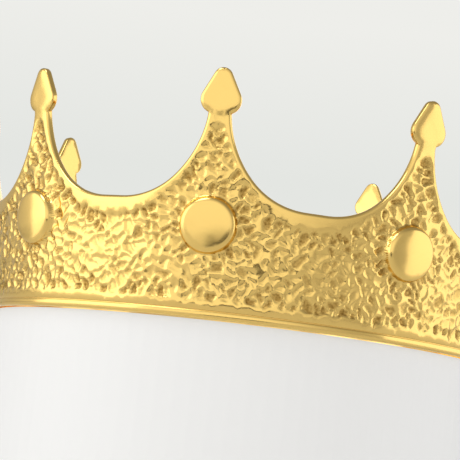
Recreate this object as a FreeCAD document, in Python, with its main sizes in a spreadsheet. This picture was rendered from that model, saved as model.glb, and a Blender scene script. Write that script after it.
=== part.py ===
"""Nine-pointed crown, cast in metal as one round ring.

The wall flares outward. Its top is cut into nine scallops, the points between them end in spade
finials, and a round boss sits under each point. Inside a smooth border the outer face is sunk,
where it is hammered.

Frame: +Z up, base in the plane Z = 0, one point straight ahead towards -Y. The origin is the middle
of the crown's box, so the ring's own axis stands a little behind it: a point lies ahead, a gap
between two points behind.
"""

import FreeCAD, Part
import math
import os

import Sketcher

Vector = FreeCAD.Vector
Rotation = FreeCAD.Rotation
Placement = FreeCAD.Placement
UP = Vector(0, 0, 1)

DRIVING_SIZES = [
    ("ring_radius", 93.0, "outer radius of the ring at the base"),
    ("flare_angle", 6.6, "outward lean of the wall, in degrees"),
    ("wall", 2.4, "thickness of the wall, square to its face"),
    ("lip_rise", 2.3, "height of the rounded lip round the bottom"),
    ("lip_radius", 1.2, "radius of that lip's lower edge"),
    ("groove_width", 0.6, "width of the fine groove above the lip"),
    ("groove_depth", 0.3, "depth of that groove"),
    ("base_border", 5.4, "height of the smooth border's upper edge"),
    ("scallop_low", 36.6, "height of the lowest stretch of a scallop"),
    ("scallop_flat", 6.0, "length of that level stretch"),
    ("scallop_steepening", 47.0, "slope where a scallop's tight and wide arcs meet, in degrees"),
    ("neck_rise", 64.4, "height where a point meets its finial"),
    ("neck_width", 7.5, "width of a point at its neck"),
    ("neck_lean", 5.0, "lean of a point's side at its neck, in degrees"),
    ("rim_bevel", 0.8, "bevel of the rim's front edge"),
    ("rim_under_scallop", 5.2, "width of the smooth border under a scallop"),
    ("rim_under_neck", 4.2, "distance from a neck down to the end of the field's sides"),
    ("field_flat", 4.4, "length of the level stretch of the field's upper edge"),
    ("field_steepening", 36.0, "slope where the arcs of the field's edge meet, in degrees"),
    ("field_top_width", 4.4, "width of the field at its top"),
    ("field_top_lean", 15.0, "lean of the field's sides there, in degrees"),
    ("field_depth", 0.35, "how far the field is sunk"),
    ("boss_centre_rise", 29.2, "height of a boss's centre"),
    ("boss_diameter", 18.0, "diameter of a boss"),
    ("boss_proud", 2.4, "how far a boss stands out of the wall"),
    ("boss_edge", 1.8, "radius of a boss's rounded edge"),
    ("boss_dome", 0.35, "how far the middle of its face bulges"),
    ("finial_rise", 14.4, "length of a finial above its neck"),
    ("finial_width", 13.2, "greatest width of a finial"),
    ("finial_shoulder", 4.5, "radius of a finial's shoulders"),
    ("finial_tip", 3.1, "radius of a finial's tip"),
    ("finial_thick", 2.5, "thickness of a finial"),
    ("finial_bevel", 0.8, "bevel round a finial's front"),
]
POINT_COUNT = 9

doc = FreeCAD.newDocument("Crown")
sheet = doc.addObject("Spreadsheet::Sheet", "Sizes")
for row, (alias, value, meaning) in enumerate(DRIVING_SIZES, start=1):
    sheet.set(f"A{row}", meaning)
    sheet.set(f"B{row}", str(value))
    sheet.setAlias(f"B{row}", alias)
doc.recompute()


def size(alias):
    return float(sheet.get(alias))


# Half the turn from one point to the next, in degrees.
HALF_PITCH = 180 / POINT_COUNT
# Expressions over the sheet that several pieces share. Trigonometry is in degrees.
SLOPE = "tan(Sizes.flare_angle)"
LEVEL_WALL = "(Sizes.wall / cos(Sizes.flare_angle))"
FIELD_LOW = "(Sizes.scallop_low - Sizes.rim_under_scallop)"
FIELD_TOP = "(Sizes.neck_rise - Sizes.rim_under_neck)"
# How a sketch numbers the places of a line or an arc.
START, END, CENTRE = range(1, 4)
# How far a tool runs past what it cuts, and how far a piece is let into its neighbour.
PASS = 1.0
LET_IN = 1.5
# How near counts as the same place, in millimetres or radians.
NEAR = 0.001


def reach(height):
    """Radius of the outer face at a height, as an expression."""
    return f"(Sizes.ring_radius + ({height}) * {SLOPE})"


def half_gap(height):
    """Half the distance between two points, at a height, as an expression."""
    return f"({reach(height)} * sin({HALF_PITCH}))"


def worked(expression):
    return float(sheet.evalExpression(expression))


FLARE = math.radians(size("flare_angle"))
# The box reaches to a finial's tip ahead, and to the rim of the gap behind.
TIP_RISE = "(Sizes.neck_rise + Sizes.finial_rise * cos(Sizes.flare_angle))"
AXIS = Vector(0, worked(f"({reach(TIP_RISE)} - {reach('Sizes.scallop_low')}) / 2"), 0)


def facing_out(heading):
    """The level direction out of the ring, at a turn from straight ahead."""
    return Vector(math.sin(heading), -math.cos(heading), 0)


def placed(heading, height, lean):
    """A frame on the outer face: X along the rim, Z out of it, leaning with the wall or upright."""
    out = facing_out(heading)
    along = Vector(math.cos(heading), math.sin(heading), 0)
    up_face = UP * math.cos(lean) + out * math.sin(lean)
    place = AXIS + out * (size("ring_radius") + height * math.tan(FLARE)) + UP * height
    return Placement(place, Rotation(along, up_face, along.cross(up_face), "XYZ"))


def behind_outer_face(point):
    """How far a place lies behind the ring's outer face, along the level."""
    return size("ring_radius") + point.z * math.tan(FLARE) - math.hypot(point.x, point.y - AXIS.y)


class Outline:
    """A closed sketch whose sides follow one another, with its dimensions tied to the sheet."""

    def __init__(self, owner, name):
        self.sketch = owner("Sketcher::SketchObject", name)
        self.sides = []

    def line(self, start, end):
        shape = Part.LineSegment(Vector(*start, 0), Vector(*end, 0))
        self.sides.append((self.sketch.addGeometry(shape, False), START, END))
        return self.sides[-1]

    def arc(self, centre, radius, first, last):
        """An arc between two bearings in radians, clockwise where the second is the smaller."""
        circle = Part.Circle(Vector(*centre, 0), UP, radius)
        shape = Part.ArcOfCircle(circle, min(first, last), max(first, last))
        ends = (START, END) if first < last else (END, START)
        self.sides.append((self.sketch.addGeometry(shape, False), *ends))
        return self.sides[-1]

    def close(self, smooth=()):
        """Join each side to the next, tangent where the side is named as smooth."""
        for side, following in zip(self.sides, self.sides[1:] + self.sides[:1]):
            kind = "Tangent" if side in smooth else "Coincident"
            joint = (side[0], side[2], following[0], following[1])
            self.sketch.addConstraint(Sketcher.Constraint(kind, *joint))

    def tie(self, kind, where, expression):
        """One dimension of a side or of a vertex, bound to the sheet."""
        constraint = Sketcher.Constraint(kind, *where, worked(expression))
        number = self.sketch.addConstraint(constraint)
        self.sketch.setExpression(f"Constraints[{number}]", expression)

    def pin(self, where, across, up):
        """A vertex or a centre held at a place of the sheet."""
        self.tie("DistanceX", where, across)
        self.tie("DistanceY", where, up)


def in_document(kind, name):
    return doc.addObject(kind, name)


def polygon(name, corners):
    """A closed sketch through corners that are given as pairs of expressions."""
    outline = Outline(in_document, name)
    places = [(worked(across), worked(up)) for across, up in corners]
    for start, end in zip(places, places[1:] + places[:1]):
        outline.line(start, end)
    outline.close()
    for side, (across, up) in zip(outline.sides, corners):
        outline.pin(side[:2], across, up)
    return outline.sketch


def face_at(height, inward="0"):
    """A corner of a wall section, measured in from the outer face along the level."""
    return (f"{reach(height)} - ({inward})", height)


def swept(sketch, name):
    """The section carried round the ring, starting in the gap behind."""
    out = facing_out(math.pi)
    sketch.Placement = Placement(AXIS, Rotation(out, UP, out.cross(UP), "XYZ"))
    sweep = doc.addObject("Part::Revolution", name)
    sweep.Source = sketch
    sweep.Axis = UP
    sweep.Base = AXIS
    sweep.Angle = 360
    sweep.Solid = True
    return sweep


def fused(name, pieces):
    fuse = doc.addObject("Part::MultiFuse", name)
    fuse.Shapes = pieces
    return fuse


def cut(name, base, tool):
    step = doc.addObject("Part::Cut", name)
    step.Base = base
    step.Tool = tool
    return step


def wall_section():
    """Section of the wall: rounded lip, fine groove, plain leaning faces."""
    top = f"Sizes.neck_rise + {PASS}"
    groove_middle = "Sizes.lip_rise + Sizes.groove_width / 2"
    groove_end = "Sizes.lip_rise + Sizes.groove_width"
    heel = face_at("0", LEVEL_WALL)
    upper = [
        face_at("Sizes.lip_rise"),
        face_at(groove_middle, "Sizes.groove_depth"),
        face_at(groove_end),
        face_at(top),
        face_at(top, LEVEL_WALL),
    ]
    # The lip's arc touches both the bottom and the leaning face.
    lip_across = f"Sizes.ring_radius + Sizes.lip_radius * ({SLOPE} - 1 / cos(Sizes.flare_angle))"
    across, radius = worked(lip_across), size("lip_radius")
    outline = Outline(in_document, "wall_section")
    heel_place, *places = [(worked(out), worked(up)) for out, up in (heel, *upper)]
    foot = outline.line(heel_place, (across, 0))
    lip = outline.arc((across, radius), radius, -math.pi / 2, -FLARE)
    lip_end = (across + radius * math.cos(FLARE), radius - radius * math.sin(FLARE))
    for start, end in zip([lip_end, *places], [*places, heel_place]):
        outline.line(start, end)
    outline.close(smooth=(foot, lip))
    outline.pin(foot[:2], *heel)
    outline.pin((lip[0], CENTRE), lip_across, "Sizes.lip_radius")
    outline.tie("Radius", (lip[0],), "Sizes.lip_radius")
    for side, corner in zip(outline.sides[3:], upper):
        outline.pin(side[:2], *corner)
    return outline.sketch


def skin_section():
    """Section of what is sunk: a skin of the outer face, with room outside it."""
    low = "Sizes.base_border"
    top = f"Sizes.neck_rise + {PASS}"
    depth = "Sizes.field_depth / cos(Sizes.flare_angle)"
    corners = [face_at(low, depth), face_at(low, f"-{PASS}"), face_at(top, f"-{PASS}"), face_at(top, depth)]
    return polygon("skin_section", corners)


class Flank:
    """The side of a point, or of its field: a smooth pair of arcs from a level stretch up to a neck.

    Both arcs bulge towards the point. The tight one rises from the level stretch to a given slope,
    and the wide one goes on from there to the neck and its lean. The two radii follow from how far
    apart the two ends lie.
    """

    def __init__(self, flat, low, neck_half, neck_up, slope, lean):
        self.low = low
        self.neck_half = neck_half
        self.neck_up = neck_up
        self.bend = f"({half_gap(low)} - {flat} / 2)"
        run = f"({self.bend} - {neck_half})"
        rise = f"({neck_up} - {low})"
        # How far each arc carries across and up, for a radius of one.
        tight = (f"sin({slope})", f"(1 - cos({slope}))")
        wide = (f"(cos({lean}) - sin({slope}))", f"(cos({slope}) - sin({lean}))")
        share = f"({tight[0]} * {wide[1]} - {tight[1]} * {wide[0]})"
        self.tight_radius = f"(({run} * {wide[1]} - {rise} * {wide[0]}) / {share})"
        self.wide_radius = f"(({rise} * {tight[0]} - {run} * {tight[1]}) / {share})"
        self.slope = math.radians(worked(slope))
        self.lean = math.radians(worked(lean))

    def arcs(self, outline, side, downwards):
        """The wide and the tight arc on the right (side 1) or left (side -1), in the order of travel."""
        wide, tight = worked(self.wide_radius), worked(self.tight_radius)
        wide_centre = (
            worked(self.neck_half) + wide * math.cos(self.lean),
            worked(self.neck_up) + wide * math.sin(self.lean),
        )
        tight_centre = (worked(self.bend), worked(self.low) + tight)
        neck, meeting, level = math.pi + self.lean, 1.5 * math.pi - self.slope, 1.5 * math.pi
        spans = [(wide_centre, wide, neck, meeting), (tight_centre, tight, meeting, level)]
        if not downwards:
            spans = [(centre, radius, last, first) for centre, radius, first, last in reversed(spans)]
        made = []
        for centre, radius, first, last in spans:
            if side < 0:
                centre, first, last = (-centre[0], centre[1]), math.pi - first, math.pi - last
            made.append(outline.arc(centre, radius, first, last))
        return made if downwards else made[::-1]

    def tie(self, outline, wide, tight, side, downwards):
        """Hold both arcs by the neck, the tight arc's centre and the radii."""
        neck = wide[1] if downwards else wide[2]
        outline.pin((wide[0], neck), f"{side} * {self.neck_half}", self.neck_up)
        outline.tie("Radius", (wide[0],), self.wide_radius)
        outline.tie("Radius", (tight[0],), self.tight_radius)
        outline.pin((tight[0], CENTRE), f"{side} * {self.bend}", f"{self.low} + {self.tight_radius}")


SKY = f"(Sizes.neck_rise + 2 * {PASS})"


def scallop_outline():
    """What is cut away on both sides of a point: everything over its flanks."""
    neck_half = "Sizes.neck_width / 2"
    flank = Flank(
        "Sizes.scallop_flat", "Sizes.scallop_low", neck_half, "Sizes.neck_rise",
        "Sizes.scallop_steepening", "Sizes.neck_lean",
    )
    outline = Outline(in_document, "scallop_outline")
    # The wall's flare carries the mid-gap outwards, so the tool widens as it rises.
    past_low = f"({half_gap('Sizes.scallop_low')} + {PASS})"
    past_sky = f"({half_gap(SKY)} + {PASS})"
    half, rise, low, sky = (
        worked(part) for part in (neck_half, "Sizes.neck_rise", "Sizes.scallop_low", SKY)
    )
    for side in (1, -1):
        outline.sides = []
        upper, lower = flank.arcs(outline, side, True)
        beyond = (side * worked(past_low), low)
        corner = (side * worked(past_sky), sky)
        outline.line((side * worked(flank.bend), low), beyond)
        outer = outline.line(beyond, corner)
        lid = outline.line(corner, (side * half, sky))
        outline.line((side * half, sky), (side * half, rise))
        outline.close(smooth=(upper, lower))
        flank.tie(outline, upper, lower, side, True)
        outline.pin(outer[:2], f"{side} * {past_low}", "Sizes.scallop_low")
        outline.pin(lid[:2], f"{side} * {past_sky}", SKY)
        outline.pin((lid[0], lid[2]), f"{side} * {neck_half}", SKY)
    return outline.sketch


def field_outline():
    """The sunk field round a point, from the base border to its rounded top."""
    top_half = "Sizes.field_top_width / 2"
    lean = "Sizes.field_top_lean"
    flank = Flank(
        "Sizes.field_flat", FIELD_LOW, top_half, FIELD_TOP, "Sizes.field_steepening", lean
    )
    outline = Outline(in_document, "field_outline")
    past_gap = f"({half_gap(FIELD_LOW)} + {PASS})"
    past, base, low, bend = (
        worked(part) for part in (past_gap, "Sizes.base_border", FIELD_LOW, flank.bend)
    )
    cap_radius = f"{top_half} / cos({lean})"
    cap_up = worked(f"{FIELD_TOP} - ({cap_radius}) * sin({lean})")
    floor = outline.line((-past, base), (past, base))
    right = outline.line((past, base), (past, low))
    right_level = outline.line((past, low), (bend, low))
    right_upper, right_lower = flank.arcs(outline, 1, False)
    cap = outline.arc((0, cap_up), worked(cap_radius), flank.lean, math.pi - flank.lean)
    left_upper, left_lower = flank.arcs(outline, -1, True)
    left_level = outline.line((-bend, low), (-past, low))
    left = outline.line((-past, low), (-past, base))
    outline.close(smooth=(right_level, right_lower, left_upper, left_lower))
    flank.tie(outline, right_upper, right_lower, 1, False)
    flank.tie(outline, left_upper, left_lower, -1, True)
    outline.tie("Radius", (cap[0],), cap_radius)
    outline.pin(floor[:2], f"-{past_gap}", "Sizes.base_border")
    outline.pin(right[:2], past_gap, "Sizes.base_border")
    outline.pin(right_level[:2], past_gap, FIELD_LOW)
    outline.pin(left[:2], f"-{past_gap}", FIELD_LOW)
    return outline.sketch


def prism(name, sketch):
    """A tool through the wall: it starts behind the mid-gap and ends in front of the point."""
    behind = f"Sizes.ring_radius * (1 - cos({HALF_PITCH})) + {LEVEL_WALL} + {PASS}"
    block = doc.addObject("Part::Extrusion", name)
    block.Base = sketch
    block.Dir = UP
    block.DirMode = "Custom"
    block.Solid = True
    block.setExpression("LengthFwd", f"Sizes.neck_rise * {SLOPE} + {PASS}")
    block.setExpression("LengthRev", behind)
    return block


def at_each_point(source, height, lean, proud=0.0):
    """A copy of a piece or tool at each point, standing out of the face by proud."""
    copies = []
    for number in range(POINT_COUNT):
        copy = doc.addObject("App::Link", f"{source.Name}_{number + 1}")
        copy.LinkedObject = source
        place = placed(number * 2 * math.radians(HALF_PITCH), height, lean)
        copy.LinkPlacement = place * Placement(UP * proud, Rotation())
        copies.append(copy)
    return copies


def rim_edges(shape):
    """The front edges of the scallops and necks: they border a cut that goes right through the wall."""
    def is_cut(face):
        depths = [behind_outer_face(vertex.Point) for vertex in face.Vertexes]
        over_scallop = min(vertex.Z for vertex in face.Vertexes) > size("scallop_low") - NEAR
        return over_scallop and abs(min(depths)) < NEAR and max(depths) > size("wall") - NEAR

    def on_outer_face(edge):
        middle = edge.valueAt((edge.FirstParameter + edge.LastParameter) / 2)
        places = [middle, *(vertex.Point for vertex in edge.Vertexes)]
        return middle.z < size("neck_rise") + PASS - NEAR and all(
            abs(behind_outer_face(place)) < 2 * NEAR for place in places
        )

    borders = {edge.hashCode() for face in shape.Faces if is_cut(face) for edge in face.Edges}
    return [
        number for number, edge in enumerate(shape.Edges, start=1)
        if edge.hashCode() in borders and on_outer_face(edge)
    ]


def bevelled_rim(base):
    """The ring with its rim bevelled in front."""
    doc.recompute()
    bevel = doc.addObject("Part::Chamfer", "bevelled")
    bevel.Base = base
    run = size("rim_bevel")
    bevel.Edges = [(number, run, run) for number in rim_edges(base.Shape)]
    return bevel


def boss():
    """A flat disc with a rounded edge and a slightly bulging face, let into the wall."""
    body = doc.addObject("PartDesign::Body", "boss")
    outline = Outline(body.newObject, "boss_section")
    sketch = outline.sketch
    sketch.AttachmentSupport = [(plane(body, "XZ_Plane"), "")]
    sketch.MapMode = "FlatFace"
    half = size("boss_diameter") / 2
    proud, edge, dome = size("boss_proud"), size("boss_edge"), size("boss_dome")
    face_half = half - edge
    dome_radius = f"((Sizes.boss_diameter / 2 - Sizes.boss_edge)^2 / Sizes.boss_dome + Sizes.boss_dome) / 2"
    bulge = worked(dome_radius)
    turn = math.asin(face_half / bulge)
    foot = outline.line((0, -LET_IN), (half, -LET_IN))
    side = outline.line((half, -LET_IN), (half, proud - edge))
    round_edge = outline.arc((face_half, proud - edge), edge, 0, math.pi / 2)
    face = outline.arc((0, proud + dome - bulge), bulge, math.pi / 2 - turn, math.pi / 2)
    axis = outline.line((0, proud + dome), (0, -LET_IN))
    outline.close()
    outline.pin(foot[:2], "0", f"-{LET_IN}")
    outline.pin(side[:2], "Sizes.boss_diameter / 2", f"-{LET_IN}")
    outline.pin(round_edge[:2], "Sizes.boss_diameter / 2", "Sizes.boss_proud - Sizes.boss_edge")
    outline.pin(face[:2], "Sizes.boss_diameter / 2 - Sizes.boss_edge", "Sizes.boss_proud")
    outline.pin(axis[:2], "0", "Sizes.boss_proud + Sizes.boss_dome")
    outline.tie("Radius", (round_edge[0],), "Sizes.boss_edge")
    outline.tie("Radius", (face[0],), dome_radius)
    turned = body.newObject("PartDesign::Revolution", "boss_turned")
    turned.Profile = sketch
    turned.ReferenceAxis = (sketch, ["V_Axis"])
    turned.Angle = 360
    return body


def plane(body, role):
    return next(item for item in body.Origin.OriginFeatures if item.Role == role)


def finial():
    """A spade-shaped plate: neck, rounded shoulders, straight sides, rounded tip, bevelled front."""
    body = doc.addObject("PartDesign::Body", "finial")
    outline = Outline(body.newObject, "finial_outline")
    outline.sketch.AttachmentSupport = [(plane(body, "XY_Plane"), "")]
    outline.sketch.MapMode = "FlatFace"
    neck_half = "Sizes.neck_width / 2"
    shoulder_across = "(Sizes.finial_width / 2 - Sizes.finial_shoulder)"
    shoulder_up = f"sqrt(Sizes.finial_shoulder^2 - ({neck_half} - {shoulder_across})^2)"
    tip_up = "Sizes.finial_rise - Sizes.finial_tip"
    half, across, up, tip = (worked(part) for part in (neck_half, shoulder_across, shoulder_up, tip_up))
    shoulder_radius, tip_radius = size("finial_shoulder"), size("finial_tip")
    start = math.atan2(-up, half - across)
    # Bearing of the straight side's normal, from the two circles that it touches.
    between = math.atan2(up - tip, across)
    bearing = between + math.acos((tip_radius - shoulder_radius) / math.hypot(across, up - tip))

    def on_circle(centre, radius, side):
        return (side * (centre[0] + radius * math.cos(bearing)), centre[1] + radius * math.sin(bearing))

    foot = outline.line((-half, -LET_IN), (half, -LET_IN))
    right_neck = outline.line((half, -LET_IN), (half, 0))
    right = outline.arc((across, up), shoulder_radius, start, bearing)
    right_side = outline.line(
        on_circle((across, up), shoulder_radius, 1), on_circle((0, tip), tip_radius, 1)
    )
    crest = outline.arc((0, tip), tip_radius, bearing, math.pi - bearing)
    left_side = outline.line(
        on_circle((0, tip), tip_radius, -1), on_circle((across, up), shoulder_radius, -1)
    )
    left = outline.arc((-across, up), shoulder_radius, math.pi - bearing, math.pi - start)
    left_neck = outline.line((-half, 0), (-half, -LET_IN))
    outline.close(smooth=(right, right_side, crest, left_side))
    outline.pin(foot[:2], f"-{neck_half}", f"-{LET_IN}")
    outline.pin(right_neck[:2], neck_half, f"-{LET_IN}")
    outline.pin(right[:2], neck_half, "0")
    outline.pin(left_neck[:2], f"-{neck_half}", "0")
    outline.pin((crest[0], CENTRE), "0", tip_up)
    outline.tie("Radius", (crest[0],), "Sizes.finial_tip")
    for shoulder, side in ((right, 1), (left, -1)):
        outline.tie("Radius", (shoulder[0],), "Sizes.finial_shoulder")
        outline.tie("DistanceX", (shoulder[0], CENTRE), f"{side} * {shoulder_across}")
    plate = body.newObject("PartDesign::Pad", "finial_plate")
    plate.Profile = outline.sketch
    plate.setExpression("Length", "Sizes.finial_thick")
    doc.recompute()
    front = size("finial_thick")
    rim = [
        f"Edge{number}" for number, edge in enumerate(plate.Shape.Edges, start=1)
        if all(abs(vertex.Z - front) < NEAR for vertex in edge.Vertexes)
        and edge.CenterOfMass.y > NEAR - LET_IN
    ]
    bevel = body.newObject("PartDesign::Chamfer", "finial_bevelled")
    bevel.Base = (plate, rim)
    bevel.setExpression("Size", "Sizes.finial_bevel")
    return body


def crown():
    """The whole casting: the ring with its points cut and its field sunk, the bosses and finials."""
    ring = swept(wall_section(), "ring")
    skin = swept(skin_section(), "skin")
    scallop = prism("scallop_tool", scallop_outline())
    field = prism("field_tool", field_outline())
    doc.recompute()
    scallops = fused("scallops", at_each_point(scallop, 0, 0))
    fields = fused("fields", at_each_point(field, 0, 0))
    sunk = doc.addObject("Part::Common", "sunk")
    sunk.Base = skin
    sunk.Tool = fields
    pointed = cut("pointed", ring, scallops)
    faced = bevelled_rim(cut("faced", pointed, sunk))
    finial_proud = -(size("finial_thick") + size("wall")) / 2
    bosses = at_each_point(boss(), size("boss_centre_rise"), FLARE)
    finials = at_each_point(finial(), size("neck_rise"), FLARE, finial_proud)
    whole = fused("crown", [faced, *bosses, *finials])
    whole.Refine = True
    return whole


def checked_and_written(piece):
    """Stop on any failed object or bad shape, then write the piece under its label."""
    doc.recompute()
    for item in doc.Objects:
        if {"Invalid", "Error"} & set(item.State):
            raise RuntimeError(f"{item.Label} failed: {item.State}")
    shape = piece.Shape
    if shape.isNull() or not shape.isValid() or len(shape.Solids) != 1:
        raise RuntimeError(f"{piece.Label} is not one valid solid")
    os.makedirs("parts", exist_ok=True)
    shape.exportStep(f"parts/{piece.Label}.step")
    box = shape.BoundBox
    print(f"{piece.Label}: {box.XLength:.1f} x {box.YLength:.1f} x {box.ZLength:.1f} mm,"
          f" {shape.Volume / 1000:.1f} cm3, from Z {box.ZMin:.2f}")


checked_and_written(crown())
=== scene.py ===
"""Dresses a cast crown: its hammered and polished gold-plated surface, and a pale studio round it."""

import math

import bpy
import numpy as np
from mathutils import Matrix, Vector, geometry


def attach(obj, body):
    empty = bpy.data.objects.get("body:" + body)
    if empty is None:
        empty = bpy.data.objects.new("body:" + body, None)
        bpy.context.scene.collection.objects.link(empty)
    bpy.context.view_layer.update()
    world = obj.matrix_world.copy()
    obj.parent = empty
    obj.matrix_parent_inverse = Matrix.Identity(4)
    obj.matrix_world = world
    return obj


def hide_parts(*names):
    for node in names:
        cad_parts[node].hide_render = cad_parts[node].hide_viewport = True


bl_info = {
    "name": "Hammered Crown",
    "version": (1, 0, 0),
    "blender": (4, 5, 0),
    "location": "View3D > Sidebar > Crown",
    "description": "Builds a gold-plated crown with a hammered face round its CAD frame",
    "category": "Add Mesh",
}

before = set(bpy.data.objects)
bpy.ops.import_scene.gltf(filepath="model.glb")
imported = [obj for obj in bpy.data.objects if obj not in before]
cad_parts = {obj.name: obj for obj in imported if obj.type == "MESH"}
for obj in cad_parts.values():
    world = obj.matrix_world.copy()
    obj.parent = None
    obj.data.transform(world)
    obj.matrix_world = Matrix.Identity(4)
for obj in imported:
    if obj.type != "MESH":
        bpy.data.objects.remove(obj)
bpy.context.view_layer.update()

MM = 0.001
# Where the rows of a rounded edge lie, in degrees round it.
ROUND_BEARINGS = (25, 42, 58, 74, 90)
POINT_COUNT = 9
HALF_PITCH = math.pi / POINT_COUNT

# The mesh, in millimetres unless a comment says otherwise.
# Steps of the smooth borders and of the back, as multiples of the field's step.
BORDER_COARSER = 2
BACK_COARSER = 3
# How far the fine grid runs past the field, and how far outlines run past a seam.
FINE_MARGIN = 0.6
PAST_SEAM = 3.0
# A guide's end counts as lying on a seam within this distance.
ON_SEAM = 0.02
# Least distances between the points of guides, of a seam, and (as a share of its step) of a grid.
GUIDE_APART = 0.1
SEAM_APART = 0.12
GRID_APART = 0.62
ROW_APART = 0.5
# Extra rows beside the field's edge, on the back's rounded edges, round a boss and outside its foot.
FIELD_EDGE_ROWS = (-0.25, 0.25)
BACK_ROWS = (0.15, 0.5)
BOSS_EDGE_RINGS = 6
BOSS_FOOT_RINGS = (0.08, 0.5, 1.2)

# The pits. A first row lines every edge, and the others fill what is left, band by band. Number of
# places tried, least distance from an edge, the first row's distance from it and a band's width.
PIT_TRIES = 30000
PIT_TO_EDGE = 0.9
PIT_ROW = 1.7
PIT_ROW_BAND = 0.4
# Bearings stray from square to the edge, in radians: least, and so much more in the open field.
STRAY = (0.2, 0.7)
OPEN_FIELD = (2.0, 7.0)
# The punch went in deepest near the edges: share everywhere, more at an edge, and how fast it fades.
FORCE = (0.62, 0.38)
FORCE_FROM, FORCE_FADE = 2.0, 3.5
SCALE_RANGE = (0.8, 1.3)
LONG_RANGE, WIDE_RANGE, DEEP_RANGE = (0.85, 1.3), (0.85, 1.15), (0.5, 1.2)
# Distances in a pit's own measure, where its oval is at 1: ridge between two pits, and the wall.
RIDGE = 0.7
PIT_WALL = (0.6, 1.35)
# What counts as out of every pit's reach, and how many pit lengths a pit can reach.
OUT_OF_REACH = 9.0
PIT_SPAN = 3.0
# Depths between which a place comes to count as a pit's floor: rougher, and darkened with painted shade.
FLOOR_DEPTHS = (0.3, 0.75)

# Swells of the cast surface: height, wavelengths and number of waves.
PIT_WOBBLE = (0.45, (3.0, 8.0), 14)
RAGGED_EDGE = (0.3, (2.5, 5.0), 10)
FIELD_SWELL = (0.08, (5.0, 11.0), 12)
BACK_SWELL = (0.05, (12.0, 30.0), 8)
# The field's edge: where the face sinks, the limit outside which it never does, how deep it sinks,
# and where pits reach full depth.
FIELD_SLOPE = (-0.15, 0.55)
FIELD_LIMIT = -0.8
FIELD_SUNK = 0.12
FULL_PITS = (0.0, 1.0)
# A boss's foot stays free of pits, and its face bulges a little.
BOSS_CLEAR = (0.0, 0.8)
BOSS_BULGE = 0.3
BOSS_SLACK = 0.02
# A finial's face is flat: where it begins, measured from the neck, how far it is set out and stands
# proud, and how far its bevel falls.
FINIAL_START = (-1.5, 1.0)
FINIAL_FLAT, FINIAL_PROUD, FINIAL_DROP = 0.05, 0.15, 0.8

# The plating's grain and swell: width, and the strength and depth with which they bend the light.
GRAIN_WIDTH, GRAIN_BEND = 0.9, (0.8, 0.25)
SWELL_WIDTH, SWELL_BEND = 9, (0.25, 0.5)
GRAIN_DETAIL, GRAIN_ROUGHNESS = 3.0, 0.65
# Grain levels between which the painted shade on a pit's floor goes from its lightest to its darkest.
SPECKLE = (0.35, 0.65)
SPECKLE_LEAST = 0.35

# The studio, in metres. The mat narrows towards the crown.
FLOOR_REACH = 4.0
FLOOR_FRONT = -1.25
MAT_CORNERS = ((-0.2, FLOOR_FRONT), (0.4, FLOOR_FRONT), (0.25, -0.65), (-0.08, -0.65))
PLINTH_SIDES = 96
SHEET_ROUGHNESS, MAT_ROUGHNESS = 0.35, 0.6
MAT_TINT = "#2B2820"
# Share of painted light on the plinth: an even glow, for the camera only, that lightens its shading and the
# crown's shadow on it.
PLINTH_PAINTED_LIGHT = 0.5
# Name, bearing in degrees rightwards from the crown's front, distance, width and height, and glow
# of each upright panel, and the height of their lower edges.
PANELS = (
    ("left_panel", -62, 1.0, (1.0, 0.7), 0.85),
    ("right_panel", 96, 1.0, (1.0, 0.7), 0.9),
    ("back_panel", 170, 1.1, (1.0, 0.7), 0.9),
)
PANEL_FOOT = -0.15
# Name, place, aim, width and height, and glow of the panel high at the front left.
HIGH_PANEL = ("high_panel", (-0.5, -0.6, 1.0), (0, 0, 0), (0.5, 0.5), 4.0)
# Level direction of the bright wall, which stands behind the camera and 30 degrees to its left,
# the share of that direction at which its light is full, and the light of the dim walls and of it.
BRIGHT_WALL = (-0.5, -0.87)
BRIGHT_FULL = 0.87
WALL_LIGHT = (0.56, 1.22)
# Rises, as sines, between which the ceiling takes over, and its share of the light.
CEILING_FROM = (0.25, 0.75)
CEILING_SHARE = 0.6
# Rises, as sines, between which the backdrop goes from its lower tint to its upper one.
HAZE = (0.16, 0.25)
BACKDROP_TINTS = ("#E4E6E2", "#EEEEEA")
ROOM_TINT = "#F7F5F1"


def linear(hex_colour):
    """An sRGB hex colour as linear red, green, blue and alpha."""
    parts = (int(hex_colour[place:place + 2], 16) / 255 for place in (1, 3, 5))
    return (*(part / 12.92 if part <= 0.04045 else ((part + 0.055) / 1.055) ** 2.4 for part in parts), 1.0)


def length(name, millimetres, description):
    return bpy.props.FloatProperty(
        name=name, description=description, default=millimetres * MM, min=0.0, unit="LENGTH", precision=5
    )


def angle(name, degrees, description):
    return bpy.props.FloatProperty(
        name=name, description=description, default=math.radians(degrees), subtype="ANGLE"
    )


def colour(name, hex_colour, description):
    return bpy.props.FloatVectorProperty(
        name=name, description=description, default=linear(hex_colour), size=4, subtype="COLOR",
        min=0.0, max=1.0,
    )


def share(name, value, description):
    return bpy.props.FloatProperty(name=name, description=description, default=value, min=0.0, max=1.0)


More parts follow.
